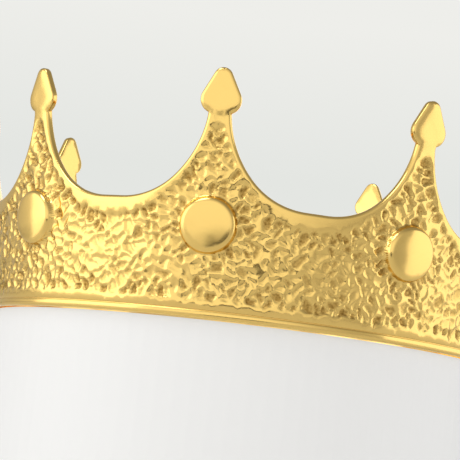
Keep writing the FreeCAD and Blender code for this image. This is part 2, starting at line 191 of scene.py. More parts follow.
class CrownForm(bpy.types.PropertyGroup):
    """The casting's own sizes."""

    ring_radius: length("Ring radius", 93.0, "Outer radius of the ring at the base")
    flare: angle("Flare", 6.6, "Outward lean of the wall")
    wall: length("Wall", 2.4, "Thickness of the wall")
    lip_rise: length("Lip rise", 2.3, "Height of the rounded lip round the bottom")
    lip_round: length("Lip rounding", 1.2, "Radius of the lip's lower edge")
    groove_width: length("Groove width", 0.7, "Width of the fine groove above the lip")
    groove_depth: length("Groove depth", 0.35, "Depth of that groove")
    base_border: length("Base border", 5.4, "Height of the lower smooth border's upper edge")
    scallop_low: length("Scallop low", 36.6, "Height of a scallop's lowest stretch")
    scallop_flat: length("Scallop flat", 6.0, "Length of that stretch")
    scallop_steepening: angle("Scallop slope", 47.0, "Slope where a scallop's two arcs meet")
    neck_rise: length("Neck rise", 64.4, "Height where a point meets its finial")
    neck_width: length("Neck width", 7.5, "Width of a point at its neck")
    neck_lean: angle("Neck lean", 5.0, "Lean of a point's side at its neck")
    rim_round: length("Rim rounding", 1.2, "Radius of the rim's front edge")
    back_round: length("Back rounding", 0.5, "Radius of the rim's back edge")
    rim_under_scallop: length("Rim under scallop", 5.2, "Width of the smooth border under a scallop")
    rim_under_neck: length("Rim under neck", 4.2, "Distance from a neck to the end of the field's sides")
    field_flat: length("Field flat", 4.4, "Length of the level stretch of the field's upper edge")
    field_steepening: angle("Field slope", 36.0, "Slope where the arcs of the field's edge meet")
    field_top_width: length("Field top width", 4.4, "Width of the field at its top")
    field_top_lean: angle("Field top lean", 15.0, "Lean of the field's sides at its top")
    boss_rise: length("Boss rise", 29.2, "Height of a boss's centre")
    boss_radius: length("Boss radius", 9.0, "Radius of a boss")
    boss_proud: length("Boss proud", 2.4, "How far a boss stands out of the wall")
    boss_edge: length("Boss edge", 1.8, "Radius of a boss's rounded edge")
    finial_rise: length("Finial rise", 14.4, "Length of a finial above its neck")
    finial_width: length("Finial width", 13.2, "Greatest width of a finial")
    finial_shoulder: length("Finial shoulder", 4.5, "Radius of a finial's shoulders")
    finial_tip: length("Finial tip", 3.1, "Radius of a finial's tip")
    finial_bevel: length("Finial bevel", 2.2, "Width of the bevel round a finial's front")


class HammerMarks(bpy.types.PropertyGroup):
    """The relief of the hammered field."""

    spacing: length("Spacing", 2.6, "Least distance between neighbouring pits")
    pit_length: length("Pit length", 2.05, "Half length of a typical pit")
    pit_width: length("Pit width", 1.2, "Half width of a typical pit")
    pit_depth: length("Pit depth", 0.8, "Depth of a typical pit")
    mesh_step: length("Mesh step", 0.64, "Distance between the mesh's points on the face")
    seed: bpy.props.IntProperty(name="Seed", description="Start of the random pits", default=7)


class GoldFinish(bpy.types.PropertyGroup):
    """Colour and polish of the plating, and the colour of the painted shade in the pits."""

    polished: colour("Polished gold", "#F7D27C", "Colour of the polished plating")
    # The pit floors' darker colour is painted shade in the hollows.
    pit_shade: colour("Pit floors", "#96702F", "Colour of the dull floors of the pits")
    polished_roughness: share("Polished roughness", 0.16, "Roughness of borders, bosses and finials")
    pit_roughness: share("Pit roughness", 0.42, "Roughness of the pit floors")


class StudioSettings(bpy.types.PropertyGroup):
    """The floor, the plinth under the crown and the camera."""

    floor_drop: length("Floor drop", 160.0, "How far the floor lies below the crown's base")
    plinth_inset: length("Plinth inset", 3.0, "How far the plinth stands back under the crown")
    pale: colour("Pale", "#F3F3F2", "Colour of floor and plinth")
    camera_azimuth: angle("Camera azimuth", 8.514, "Side from which the camera looks")
    camera_height: bpy.props.FloatProperty(
        name="Camera height", description="Height of the camera", default=-0.03958, unit="LENGTH"
    )
    camera_distance: length("Camera distance", 622.86, "Level distance of the camera from the axis")
    camera_rise: angle("Camera rise", 6.574, "How far the view looks up")
    camera_pan: angle("Camera pan", -0.786, "How far the view is turned to the right")
    camera_tilt: angle("Camera tilt", 0.773, "How far the view is tilted up")
    camera_roll: angle("Camera roll", 6.753, "How far the view is rolled")
    camera_lens: bpy.props.FloatProperty(
        name="Lens", description="Focal length on a 36 mm sensor", default=133.0, min=1.0
    )


def mm(group, name):
    return getattr(group, name) / MM


class Ring:
    """The round wall with its flaring outer face."""

    def __init__(self, form):
        self.flare = form.flare
        self.radius = mm(form, "ring_radius")
        tip = mm(form, "neck_rise") + mm(form, "finial_rise") * math.cos(form.flare)
        # The crown's box is centred on the origin, and it reaches further at the front point.
        self.axis = (self.reach(tip) - self.reach(mm(form, "scallop_low"))) / 2

    def reach(self, height):
        return self.radius + height * math.tan(self.flare)

    def places(self, heading, height, proud):
        """Places in millimetres, proud of the outer face by so much, square to it."""
        level = self.reach(height) + proud * math.cos(self.flare)
        return np.stack([
            level * np.sin(heading),
            self.axis - level * np.cos(heading),
            height - proud * math.sin(self.flare),
        ], axis=-1)


def arc_points(centre, radius, first, last, step):
    """Points along an arc, both ends included."""
    count = max(2, round(abs(last - first) * radius / step))
    bearings = np.linspace(first, last, count + 1)
    return np.stack([centre[0] + radius * np.cos(bearings), centre[1] + radius * np.sin(bearings)], -1)


def along_line(start, end, step):
    count = max(1, round(math.dist(start, end) / step))
    share_along = np.linspace(0, 1, count + 1)[:, None]
    return np.array(start) * (1 - share_along) + np.array(end) * share_along


def flank_points(bend, low, neck_half, neck_up, slope, lean, step):
    """A tight arc from the level stretch, then a wide one up to the neck."""
    run, rise = bend - neck_half, neck_up - low
    tight = (math.sin(slope), 1 - math.cos(slope))
    wide = (math.cos(lean) - math.sin(slope), math.cos(slope) - math.sin(lean))
    common = tight[0] * wide[1] - tight[1] * wide[0]
    tight_radius = (run * wide[1] - rise * wide[0]) / common
    wide_radius = (rise * tight[0] - run * tight[1]) / common
    wide_centre = (neck_half + wide_radius * math.cos(lean), neck_up + wide_radius * math.sin(lean))
    meeting = 1.5 * math.pi - slope
    lower = arc_points((bend, low + tight_radius), tight_radius, 1.5 * math.pi, meeting, step)
    upper = arc_points(wide_centre, wide_radius, meeting, math.pi + lean, step)
    return np.concatenate([lower, upper[1:]])


class HalfPitch:
    """The outline of half a point, from its axis to the middle of the scallop beside it.

    Places are pairs: the distance along the rim from the point's axis, and the height.
    """

    def __init__(self, form, ring):
        self.form, self.ring = form, ring
        self.step = mm(form.id_data.hammer_marks, "mesh_step")
        self.reference = ring.reach(mm(form, "boss_rise"))
        self.gap = self.reference * HALF_PITCH
        self.rim = self.unrolled(self.rim_points())
        self.field = self.unrolled(self.field_points())

    def unrolled(self, points):
        """Distances square across the point's axis become distances along the rim."""
        reach = self.ring.reach(points[:, 1])
        along = np.arcsin(np.clip(points[:, 0] / reach, -1, 1)) * self.reference
        return np.stack([np.minimum(along, self.gap), points[:, 1]], -1)

    def half_gap(self, height):
        return self.ring.reach(height) * math.sin(HALF_PITCH)

    def rim_points(self):
        """From the middle of the scallop up the flank and round the finial to its tip."""
        form, step = self.form, self.step
        low, neck = mm(form, "scallop_low"), mm(form, "neck_rise")
        half = mm(form, "neck_width") / 2
        bend = self.half_gap(low) - mm(form, "scallop_flat") / 2
        level = along_line((self.half_gap(low), low), (bend, low), step)
        flank = flank_points(bend, low, half, neck, form.scallop_steepening, form.neck_lean, step)
        shoulder, tip = mm(form, "finial_shoulder"), mm(form, "finial_tip")
        across = mm(form, "finial_width") / 2 - shoulder
        up = math.sqrt(shoulder ** 2 - (half - across) ** 2)
        tip_up = mm(form, "finial_rise") - tip
        bearing = math.atan2(up - tip_up, across)
        bearing += math.acos((tip - shoulder) / math.hypot(across, up - tip_up))
        round_shoulder = arc_points((across, up), shoulder, math.atan2(-up, half - across), bearing, step)
        crest = arc_points((0, tip_up), tip, bearing, math.pi / 2, step)
        side = along_line(round_shoulder[-1], crest[0], step)
        finial = np.concatenate([round_shoulder[1:], side[1:], crest[1:]])
        finial[:, 1] = neck + finial[:, 1] * math.cos(form.flare)
        finial[-1, 0] = 0.0
        return np.concatenate([level, flank[1:], finial])

    def field_points(self):
        """The upper edge of the sunk field, from the middle of the scallop to the field's top."""
        form = self.form
        low = mm(form, "scallop_low") - mm(form, "rim_under_scallop")
        top = mm(form, "neck_rise") - mm(form, "rim_under_neck")
        half, lean = mm(form, "field_top_width") / 2, form.field_top_lean
        bend = self.half_gap(low) - mm(form, "field_flat") / 2
        level = along_line((self.half_gap(low), low), (bend, low), self.step)
        flank = flank_points(bend, low, half, top, form.field_steepening, lean, self.step)
        cap_radius = half / math.cos(lean)
        cap = arc_points((0, top - cap_radius * math.sin(lean)), cap_radius, lean, math.pi / 2, self.step)
        return np.concatenate([level, flank[1:], cap[1:]])


def distance_to(points, chain):
    """Least distance of each point from a chain of straight stretches."""
    least = np.full(len(points), np.inf)
    for start, end in zip(chain[:-1], chain[1:]):
        run = end - start
        share_along = np.clip((points - start) @ run / max(run @ run, 1e-12), 0, 1)
        least = np.minimum(least, np.hypot(*(points - start - share_along[:, None] * run).T))
    return least


def inside(points, loop):
    """Which points lie inside a closed loop, by counting crossings."""
    within = np.zeros(len(points), bool)
    for start, end in zip(loop, np.roll(loop, -1, axis=0)):
        spans = (start[1] > points[:, 1]) != (end[1] > points[:, 1])
        rise = end[1] - start[1]
        if rise == 0:
            continue
        crossing = start[0] + (points[:, 1] - start[1]) * (end[0] - start[0]) / rise
        within ^= spans & (points[:, 0] < crossing)
    return within


def inset(chain, distance):
    """The chain moved by a distance to its right, seen in its own direction of travel."""
    run = np.gradient(chain, axis=0)
    run /= np.hypot(*run.T)[:, None]
    return chain + distance * np.stack([run[:, 1], -run[:, 0]], -1)


def spread(kept, extra, least):
    """Those extra points that lie at least so far from the kept ones and from each other."""
    cell = least
    grid = {}
    for point in kept:
        grid.setdefault((int(point[0] // cell), int(point[1] // cell)), []).append(point)
    chosen = []
    for point in extra:
        column, row = int(point[0] // cell), int(point[1] // cell)
        near = (
            other
            for across in (-1, 0, 1) for up in (-1, 0, 1)
            for other in grid.get((column + across, row + up), ())
        )
        if all(math.dist(point, other) >= least for other in near):
            chosen.append(point)
            grid.setdefault((column, row), []).append(point)
    return chosen


def hexagonal(width, height, step):
    """Points of a triangular grid over a rectangle."""
    rows = np.arange(0.0, height, step * math.sqrt(3) / 2)
    points = []
    for number, row in enumerate(rows):
        shift = step / 2 * (number % 2)
        across = np.arange(shift, width, step)
        points.append(np.stack([across, np.full(len(across), row)], -1))
    return np.concatenate(points)


def in_field(half, points, margin):
    """Which points lie in the hammered field, or within a margin of it."""
    form = half.form
    base = mm(form, "base_border") - margin
    left, right = -PAST_SEAM, half.gap + PAST_SEAM
    edge = inset(half.field, margin)
    loop = np.concatenate([
        [(left, base), (right, base), (right, edge[0, 1])], edge, [(left, edge[-1, 1])]
    ])
    boss = np.hypot(points[:, 0], points[:, 1] - mm(form, "boss_rise"))
    return inside(points, loop) & (boss > mm(form, "boss_radius") - margin / 2)


def grids(half, step):
    """A fine grid for the hammered field, a coarse one elsewhere; the back is coarse throughout."""
    top = half.rim[-1, 1]
    if step > half.step:
        return [(hexagonal(half.gap, top, step), step)]
    border_step = BORDER_COARSER * step
    fine, coarse = (hexagonal(half.gap, top, apart) for apart in (step, border_step))
    return [
        (fine[in_field(half, fine, FINE_MARGIN)], step),
        (coarse[~in_field(half, coarse, FINE_MARGIN)], border_step),
    ]


def seam_rows(rows, guides, across, top, step):
    """Heights of the points on a seam: where a guide ends there, and the plain rows between."""
    ends = [(0, point[1]) for chain in guides for point in chain if abs(point[0] - across) < ON_SEAM]
    chosen = spread([(0, 0), (0, top)], sorted(ends), SEAM_APART)
    chosen += spread([(0, 0), (0, top), *chosen], [(0, row) for row in rows], ROW_APART * step)
    return sorted(height for _, height in chosen if 0 < height < top)


class Sheet:
    """A triangulated half pitch of the front or the back face, with its edges in order."""

    def __init__(self, half, rows, step, guides):
        """rows are heights for the two seams, and guides are chains that the mesh follows."""
        rim = half.rim
        gap_top, tip = rim[0, 1], rim[-1, 1]
        base = along_line((0.0, 0.0), (half.gap, 0.0), half.step)
        gap_rows = seam_rows(rows, guides, half.gap, gap_top, step)
        axis_rows = seam_rows(rows, guides, 0.0, tip, step)
        gap_line = [(half.gap, row) for row in gap_rows]
        axis_line = [(0.0, row) for row in reversed(axis_rows)]
        loop = np.concatenate([base, np.reshape(gap_line, (-1, 2)), rim, np.reshape(axis_line, (-1, 2))])
        count, gaps, edge = len(base), len(gap_line), len(rim)
        self.base = list(range(count))
        self.gap = [count - 1, *range(count, count + gaps), count + gaps]
        self.rim = list(range(count + gaps, count + gaps + edge))
        self.axis = [0, *range(len(loop) - 1, count + gaps + edge - 1, -1), count + gaps + edge - 1]
        filling = [point for chain in guides for point in chain]
        filling = [point for point, within in zip(filling, inside(np.array(filling), loop)) if within]
        filling = [point for point in filling if GUIDE_APART < point[0] < half.gap - GUIDE_APART]
        taken = spread(loop, filling, GUIDE_APART)
        for part, apart in grids(half, step):
            part = part[inside(part, loop)]
            taken += spread([*loop, *taken], part, GRID_APART * apart)
        self.places = np.concatenate([loop, np.reshape(taken, (-1, 2))])
        outline = [(number, (number + 1) % len(loop)) for number in range(len(loop))]
        made = geometry.delaunay_2d_cdt([Vector(place) for place in self.places], outline, [], 1, 1e-6)
        source = [origin[0] for origin in made[3]]
        self.triangles = np.array([[source[corner] for corner in face] for face in made[2]])


def smooth(value, low, high):
    """0 below low, 1 above high, and an easy slope between."""
    share_along = np.clip((value - low) / (high - low), 0, 1)
    return share_along * share_along * (3 - 2 * share_along)


def rounded(inward, radius):
    """How far a rounded edge falls back, at a distance in from the edge."""
    left = np.clip(radius - inward, 0, radius)
    return radius - np.sqrt(np.maximum(radius ** 2 - left ** 2, 0))


class Assembly:
    """The whole casting as one closed mesh, put together from eighteen half pitches."""

    def __init__(self, form, marks):
        self.form = form
        self.ring = Ring(form)
        self.half = HalfPitch(form, self.ring)
        self.facts = []
        self.count = 0
        self.triangles = []
        self.seams = {}
        sheets = self.sheets(mm(marks, "mesh_step"))
        for number in range(2 * POINT_COUNT):
            edges = [self.add(number, face, sheet) for face, sheet in sheets.items()]
            self.stitch(number, *edges)

    def sheets(self, step):
        """The two faces of a half pitch."""
        form, half = self.form, self.half
        falls = 1 - np.cos(np.radians(ROUND_BEARINGS))
        groove = mm(form, "lip_rise") + np.linspace(0, 1, 5) * mm(form, "groove_width")
        low_rows = [*(mm(form, "lip_round") * falls), *groove]
        tip = half.rim[-1, 1]

        def level(height):
            return along_line((0, height), (half.gap, height), step)

        rim_round = mm(form, "rim_round")
        guides = [inset(half.rim, -fall) for fall in rim_round * falls]
        finial = half.rim[half.rim[:, 1] > mm(form, "neck_rise") - rim_round]
        guides.append(inset(finial, -mm(form, "finial_bevel")))
        for offset in FIELD_EDGE_ROWS:
            guides += [inset(half.field, offset), level(mm(form, "base_border") + offset)]
        guides += self.boss_rings() + [level(row) for row in low_rows]
        back = [inset(half.rim, -fall) for fall in BACK_ROWS] + [level(row) for row in BACK_ROWS]
        back_step = BACK_COARSER * step
        fine = [*low_rows, *np.arange(low_rows[-1] + step, tip, step)]
        coarse = [*BACK_ROWS, *np.arange(BACK_ROWS[-1] + back_step, tip, back_step)]
        return {"front": Sheet(half, fine, step, guides), "back": Sheet(half, coarse, back_step, back)}

    def boss_rings(self):
        """Half circles on a boss's rounded edge and outside its foot."""
        form = self.form
        radius, edge = mm(form, "boss_radius"), mm(form, "boss_edge")
        inner = radius - edge + edge * np.sin(np.linspace(0, math.pi / 2, BOSS_EDGE_RINGS))
        rings = [*inner, *(radius + past for past in BOSS_FOOT_RINGS)]
        centre = (0, mm(form, "boss_rise"))
        return [arc_points(centre, ring, -math.pi / 2, math.pi / 2, self.half.step) for ring in rings]

    def add(self, number, face, sheet):
        """Half a pitch of one face, which shares the places on its seams with its neighbours."""
        side = 1 if number % 2 == 0 else -1
        axis, gap = (number, number + 1) if side > 0 else (number + 1, number)
        seams = {(face, axis % (2 * POINT_COUNT)): sheet.axis, (face, gap % (2 * POINT_COUNT)): sheet.gap}
        names = np.full(len(sheet.places), -1)
        for seam, edge in seams.items():
            if seam in self.seams:
                names[edge] = self.seams[seam]
        fresh = np.flatnonzero(names < 0)
        names[fresh] = self.count + np.arange(len(fresh))
        self.count += len(fresh)
        places = sheet.places[fresh]
        # Number of the point, distance along the rim from its axis, height, and 1 on the front.
        self.facts.append(np.stack([
            np.full(len(fresh), (number + 1) // 2),
            side * places[:, 0],
            places[:, 1],
            np.full(len(fresh), face == "front"),
        ], -1))
        self.seams.update({seam: names[edge] for seam, edge in seams.items()})
        outward = (side > 0) == (face == "front")
        triangles = names[sheet.triangles]
        self.triangles.append(triangles if outward else triangles[:, ::-1])
        return names[sheet.base], names[sheet.rim]

    def stitch(self, number, front_edges, back_edges):
        """Close the bottom and the rim between the front and the back face."""
        for front, back in zip(front_edges, back_edges):
            first = np.stack([front[:-1], back[:-1], front[1:]], -1)
            second = np.stack([front[1:], back[:-1], back[1:]], -1)
            strip = np.concatenate([first, second])
            self.triangles.append(strip if number % 2 == 0 else strip[:, ::-1])


class Relief:
    """Pits that a punch left in the field, and how deep the face lies at any place."""

    def __init__(self, form, marks, half, rng):
        self.form, self.marks, self.half, self.rng = form, marks, half, rng
        self.pitch = 2 * half.gap
        self.turn = POINT_COUNT * self.pitch
        self.pits = self.placed_pits()

    def field_depth(self, along, height):
        """Distance inside the field's edge, negative outside it."""
        base, low = mm(self.form, "base_border"), self.half.field[0, 1]
        points = np.stack([np.abs(along), height], -1)
        left, far = -PAST_SEAM, self.half.gap + PAST_SEAM
        loop = np.concatenate([
            [(left, base), (far, base), (far, low)], self.half.field, [(left, self.half.field[-1, 1])]
        ])
        edge = np.concatenate([[(far, low)], self.half.field])
        distance = np.minimum(distance_to(points, edge), np.abs(height - base))
        return np.where(inside(points, loop), distance, -distance)

    def boss_distance(self, along, height):
        return np.hypot(along, height - mm(self.form, "boss_rise"))

    def edge_distance(self, along, height):
        """Distance from the nearest smooth part: the field's edge or a boss's foot."""
        from_boss = self.boss_distance(along, height) - mm(self.form, "boss_radius")
        return np.minimum(self.field_depth(along, height), from_boss)

    def placed_pits(self):
        """Centres and shapes of all the pits round the ring."""
        spacing = mm(self.marks, "spacing")
        base, top = mm(self.form, "base_border"), mm(self.form, "neck_rise")
        tries = self.rng.random((PIT_TRIES, 2)) * (self.turn, top - base) + (0, base)
        from_edge = self.edge_distance(self.from_point(tries[:, 0]), tries[:, 1])
        kept = from_edge > PIT_TO_EDGE
        tries, from_edge = tries[kept], from_edge[kept]
        order = np.argsort(np.abs(from_edge - PIT_ROW) // PIT_ROW_BAND, kind="stable")
        centres = np.array(spread([], tries[order], spacing))
        return self.shaped(centres, self.from_point(centres[:, 0]))

    def from_point(self, around):
        """Distance along the rim from the nearest point's axis, with its sign."""
        return (around + self.pitch / 2) % self.pitch - self.pitch / 2

    def shaped(self, centres, along):
        """Each pit lies square to the nearest edge, and strays from that in the open field."""
        rng, count = self.rng, len(centres)
        height = centres[:, 1]
        small = 0.05
        gradient = [
            self.edge_distance(along + across, height + up) - self.edge_distance(along - across, height - up)
            for across, up in ((small, 0), (0, small))
        ]
        square = np.arctan2(gradient[1], gradient[0])
        from_edge = self.edge_distance(along, height)
        stray = STRAY[0] + STRAY[1] * smooth(from_edge, *OPEN_FIELD)
        bearing = square + stray * rng.normal(0, 1, count)
        scale = rng.uniform(*SCALE_RANGE, count)
        strong = FORCE[0] + FORCE[1] * np.exp(-np.maximum(from_edge - FORCE_FROM, 0) / FORCE_FADE)
        return {
            "centre": centres,
            "bearing": bearing,
            "long": mm(self.marks, "pit_length") * scale * rng.uniform(*LONG_RANGE, count),
            "wide": mm(self.marks, "pit_width") * scale * rng.uniform(*WIDE_RANGE, count),
            "deep": mm(self.marks, "pit_depth") * strong * rng.uniform(*DEEP_RANGE, count),
        }

    def pit_depth(self, around, height, wobble):
        """Depth of the pits, and how far each place is on a pit's floor.

        Each place belongs to the pit that it is nearest to by that pit's own measure. Rounded ridges
        are left where two pits come equally near.
        """
        nearest = np.full(len(around), OUT_OF_REACH)
        second = np.full(len(around), OUT_OF_REACH)
        deep = np.zeros(len(around))
        order = np.argsort(around)
        sorted_around = around[order]
        span = PIT_SPAN * mm(self.marks, "pit_length")
        for number, centre in enumerate(self.pits["centre"]):
            for lap in (-self.turn, 0, self.turn):
                middle = centre[0] + lap
                low, high = np.searchsorted(sorted_around, (middle - span, middle + span))
                these = order[low:high]
                these = these[np.abs(height[these] - centre[1]) < span]
                across = around[these] - middle + wobble[these, 0]
                up = height[these] - centre[1] + wobble[these, 1]
                bearing = self.pits["bearing"][number]
                long_way = across * math.cos(bearing) + up * math.sin(bearing)
                wide_way = up * math.cos(bearing) - across * math.sin(bearing)
                away = np.hypot(long_way / self.pits["long"][number], wide_way / self.pits["wide"][number])
                closer = away < nearest[these]
                second[these] = np.where(closer, nearest[these], np.minimum(second[these], away))
                nearest[these] = np.where(closer, away, nearest[these])
                deep[these] = np.where(closer, self.pits["deep"][number], deep[these])
        bowl = smooth(second - nearest, 0.0, RIDGE) * (1 - smooth(nearest, *PIT_WALL))
        return deep * bowl, smooth(deep * bowl, *FLOOR_DEPTHS)


def waves(places, rng, high, lengths, count):
    """A smooth random swell over space, about so high, summed from plain waves."""
    total = np.zeros(len(places))
    for _ in range(count):
        direction = rng.normal(size=3)
        direction /= np.linalg.norm(direction)
        wavelength = rng.uniform(*lengths)
        total += np.sin(places @ direction * (2 * math.pi / wavelength) + rng.uniform(0, 2 * math.pi))
    return high * (total / math.sqrt(count / 2))


def shaped_faces(assembly, form, marks):
    """Final places of the mesh, and how far each lies on a pit's floor, which is rougher and carries painted
    shade.
    """
    rng = np.random.default_rng(marks.seed)
    ring, half = assembly.ring, assembly.half
    point, along, height, front = np.concatenate(assembly.facts).T
    front = front > 0
    relief = Relief(form, marks, half, rng)
    around = relief.pitch * point + along
    heading = around / half.reference
    plain = ring.places(heading, height, np.zeros(len(height)))
    to_rim = distance_to(np.stack([np.abs(along), height], -1), half.rim)
    neck = mm(form, "neck_rise")
    on_finial = smooth(height, neck + FINIAL_START[0], neck + FINIAL_START[1])

    proud = -rounded(to_rim, mm(form, "rim_round")) * (1 - on_finial)
    proud -= rounded(height, mm(form, "lip_round"))
    groove = (height - mm(form, "lip_rise")) / mm(form, "groove_width")
    proud -= mm(form, "groove_depth") * np.clip(1 - np.abs(2 * groove - 1), 0, 1)
    flat = along ** 2 / (2 * ring.reach(height)) + FINIAL_FLAT
    bevel = mm(form, "finial_bevel")
    proud += on_finial * (flat + FINIAL_PROUD - FINIAL_DROP * rounded(to_rim, bevel) / bevel)

    wobble = np.stack([waves(plain, rng, *PIT_WOBBLE) for _ in range(2)], -1)
    inner = relief.field_depth(along, height)
    ragged = inner + waves(plain, rng, *RAGGED_EDGE)
    field = smooth(ragged, *FIELD_SLOPE) * (inner > FIELD_LIMIT)
    depth, floor = relief.pit_depth(around, height, wobble)
    swell = waves(plain, rng, *FIELD_SWELL)
    radius, edge = mm(form, "boss_radius"), mm(form, "boss_edge")
    across = relief.boss_distance(along, height)
    clear = smooth(across - radius, *BOSS_CLEAR)
    hammered = -field * (FIELD_SUNK + clear * depth * smooth(ragged, *FULL_PITS) - swell)
    boss_face = mm(form, "boss_proud") + BOSS_BULGE * (1 - (across / radius) ** 2)
    boss_face -= rounded(radius - across, edge)
    on_boss = across < radius + BOSS_SLACK
    proud = np.where(on_boss, boss_face, proud + hammered)

    back = -mm(form, "wall") + (flat - FINIAL_FLAT) * on_finial
    back += rounded(to_rim, mm(form, "back_round")) + rounded(height, mm(form, "back_round"))
    back += waves(plain, rng, *BACK_SWELL)
    places = ring.places(heading, height, np.where(front, proud, back))
    return places * MM, np.where(front & ~on_boss, floor * field * clear, 0.0)


def add_node(tree, kind, settings=None, links=None):
    """Add a node: settings by property or by an input's name or number, links by input from outputs."""
    node = tree.nodes.new(kind)
    for name, value in (settings or {}).items():
        if isinstance(name, int) or name in node.inputs:
            node.inputs[name].default_value = value
        else:
            setattr(node, name, value)
    for name, output in (links or {}).items():
        tree.links.new(output, node.inputs[name])
    return node


def named_colour(sockets, name):
    """The colour socket of a mix node, which shares its name with sockets of other types."""
    return next(socket for socket in sockets if socket.name == name and socket.type == "RGBA")


def new_material(name):
    material = bpy.data.materials.new(name)
    material.use_nodes = True
    material.node_tree.nodes.clear()
    return material


def gold_plate(finish):
    """Gold-plated zinc die casting: polished high spots, with matte grainy floors in the pits.

    The plating gives warm bright reflections on the borders, bosses, finials and ridges. The
    polishing wheel never reached the pit floors, so they stay rough and scatter the light. Their
    darker colour, strongest where the pits are deepest, is painted shade.
    """
    material = new_material("gold_plated_zinc_casting")
    tree = material.node_tree
    pit = add_node(tree, "ShaderNodeAttribute", {"attribute_name": "pit"})
    place = add_node(tree, "ShaderNodeTexCoord")
    # Cast grain, in specks up to about a millimetre wide.
    grain = add_node(
        tree, "ShaderNodeTexNoise",
        {"Scale": 1 / (GRAIN_WIDTH * MM), "Detail": GRAIN_DETAIL, "Roughness": GRAIN_ROUGHNESS},
        {"Vector": place.outputs["Object"]},
    )
    # Polished metal is never quite flat: a swell several millimetres wide bends its reflections.
    swell = add_node(
        tree, "ShaderNodeTexNoise", {"Scale": 1 / (SWELL_WIDTH * MM), "Detail": 1.0},
        {"Vector": place.outputs["Object"]},
    )
    speckle = add_node(
        tree, "ShaderNodeMapRange",
        {"From Min": SPECKLE[0], "From Max": SPECKLE[1], "To Min": SPECKLE_LEAST, "To Max": 1.0},
        {"Value": grain.outputs["Fac"]},
    )
    # Painted shade: the pit floors take the darker colour, most where the pits are deepest, broken up by the
    # grain.
    shaded = add_node(
        tree, "ShaderNodeMath", {"operation": "MULTIPLY"},
        {0: pit.outputs["Fac"], 1: speckle.outputs["Result"]},
    )
    tint = add_node(
        tree, "ShaderNodeMix", {"data_type": "RGBA"}, {"Factor": shaded.outputs["Value"]}
    )
    for socket, value in (("A", finish.polished), ("B", finish.pit_shade)):
        named_colour(tint.inputs, socket).default_value = value
    rough = add_node(
        tree, "ShaderNodeMapRange",
        {"To Min": finish.polished_roughness, "To Max": finish.pit_roughness},
        {"Value": pit.outputs["Fac"]},
    )
    swell_bump = add_node(
        tree, "ShaderNodeBump", {"Strength": SWELL_BEND[0], "Distance": SWELL_BEND[1] * MM},
        {"Height": swell.outputs["Fac"]},
    )
    grain_height = add_node(
        tree, "ShaderNodeMath", {"operation": "MULTIPLY"},
        {0: grain.outputs["Fac"], 1: pit.outputs["Fac"]},
    )
    grain_bump = add_node(
        tree, "ShaderNodeBump", {"Strength": GRAIN_BEND[0], "Distance": GRAIN_BEND[1] * MM},
        {"Height": grain_height.outputs["Value"], "Normal": swell_bump.outputs["Normal"]},
    )
    shader = add_node(
        tree, "ShaderNodeBsdfPrincipled", {"Metallic": 1.0},
        {"Base Color": named_colour(tint.outputs, "Result"), "Roughness": rough.outputs["Result"],
         "Normal": grain_bump.outputs["Normal"]},
    )
    add_node(tree, "ShaderNodeOutputMaterial", links={"Surface": shader.outputs["BSDF"]})
    return material


def pale_surface(name, tint, roughness, glow=0.0):
    """A plain acrylic sheet or mat, even in colour, with a soft sheen or nearly none.

    A glow is painted light: an even glow in its own colour that only the camera sees, which lightens its
    shading, and gives the crown no light.
    """
    material = new_material(name)
    tree = material.node_tree
    shader = add_node(tree, "ShaderNodeBsdfPrincipled", {"Base Color": tint, "Roughness": roughness})
    # Painted light: the glow in the surface's own colour, for camera rays only.
    painted_light = add_node(tree, "ShaderNodeEmission", {"Color": tint, "Strength": 1.0})
    path = add_node(tree, "ShaderNodeLightPath")
    painted_light_share = add_node(
        tree, "ShaderNodeMath", {"operation": "MULTIPLY", 1: glow}, {0: path.outputs["Is Camera Ray"]}
    )
    mix = add_node(
        tree, "ShaderNodeMixShader",
        links={"Fac": painted_light_share.outputs["Value"], 1: shader.outputs["BSDF"], 2: painted_light.outputs["Emission"]},
    )
    add_node(tree, "ShaderNodeOutputMaterial", links={"Surface": mix.outputs["Shader"]})
    return material


def mesh_object(name, places, triangles):
    mesh = bpy.data.meshes.new(name)
    mesh.from_pydata([tuple(place) for place in places], [], [tuple(map(int, face)) for face in triangles])
    mesh.validate()
    mesh.polygons.foreach_set("use_smooth", np.ones(len(mesh.polygons), bool))
    made = bpy.data.objects.new(name, mesh)
    bpy.context.scene.collection.objects.link(made)
    return made


class CROWN_OT_casting(bpy.types.Operator):
    """Build the hammered casting and plate it"""

    bl_idname = "crown.casting"
    bl_label = "Crown casting"

    def execute(self, context):
        scene = context.scene
        form, marks = scene.crown_form, scene.hammer_marks
        assembly = Assembly(form, marks)
        places, pit = shaped_faces(assembly, form, marks)
        casting = mesh_object("crown_casting", places, np.concatenate(assembly.triangles))
        attribute = casting.data.attributes.new("pit", "FLOAT", "POINT")
        attribute.data.foreach_set("value", pit.astype(np.float32))
        casting.data.materials.append(gold_plate(scene.gold_finish))
        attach(casting, "root")
        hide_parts("crown")
        return {"FINISHED"}


def lamp(name, place, aim, size, glow):
    """A soft panel that faces its aim. A glow of 1 looks white."""
    light = bpy.data.lights.new(name, "AREA")
    light.shape = "RECTANGLE"
    light.size, light.size_y = size
    light.energy = glow * math.pi * size[0] * size[1]
    made = bpy.data.objects.new(name, light)
    made.location = place
    made.rotation_euler = (Vector(aim) - Vector(place)).to_track_quat("-Z", "Y").to_euler()
    bpy.context.scene.collection.objects.link(made)


def turned(first, second, by):
    """Two directions square to each other, turned from the first towards the second."""
    return (
        math.cos(by) * first + math.sin(by) * second, math.cos(by) * second - math.sin(by) * first
    )


